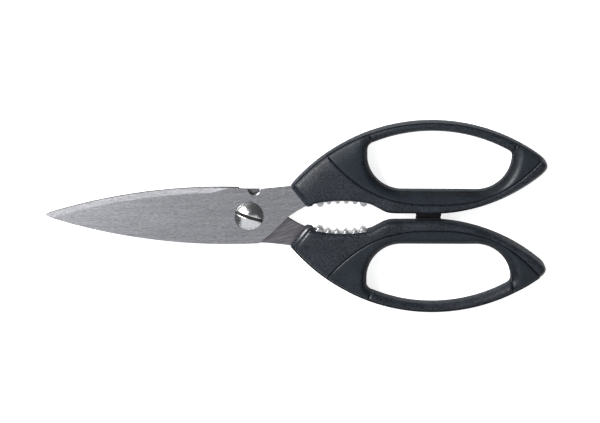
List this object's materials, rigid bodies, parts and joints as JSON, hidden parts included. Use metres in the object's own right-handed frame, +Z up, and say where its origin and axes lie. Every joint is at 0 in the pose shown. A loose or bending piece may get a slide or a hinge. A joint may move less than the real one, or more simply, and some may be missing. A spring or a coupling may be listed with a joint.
{
  "type": "poultry shears",
  "caption": "Kitchen shears with long pointed blades, a bone notch, a slotted pivot screw, closed finger loops with soft grips, and toothed nutcracker jaws between the handles.",
  "frame": {"origin": "on the pivot axis, on the surface the closed shears lie on, which is the nut's flat underside", "axes": "+X from the pivot to the handles, +Y towards the handle of the front blade, +Z up out of the slotted side"},
  "size_m": [0.2102, 0.0806, 0.012],
  "materials": {
    "blade_steel": "fine grinding lines along the blade",
    "polished_steel": "polished",
    "spring_steel": "plain",
    "hard_plastic": "fine moulded grain",
    "soft_grip": "smooth soft touch",
    "jaw_metal": "bright cast",
    "pad_rubber": "matte"
  },
  "bodies": {
    "rear_arm": {"rear_blade": "blade_steel", "pivot_screw": "polished_steel", "spring_washer": "spring_steel", "pivot_nut": "polished_steel", "lower_handle": "hard_plastic", "lower_grip": "soft_grip", "lower_jaw": "jaw_metal", "lower_stop_pad": "pad_rubber"},
    "front_arm": {"front_blade": "blade_steel", "upper_handle": "hard_plastic", "upper_grip": "soft_grip", "upper_jaw": "jaw_metal", "upper_stop_pad": "pad_rubber"}
  },
  "joints": [
    {"name": "pivot", "type": "hinge", "parent": "rear_arm", "child": "front_arm", "pos_m": [0, 0, 0.006], "axis": [0, 0, 1], "range_deg": [0, 100]}
  ]
}
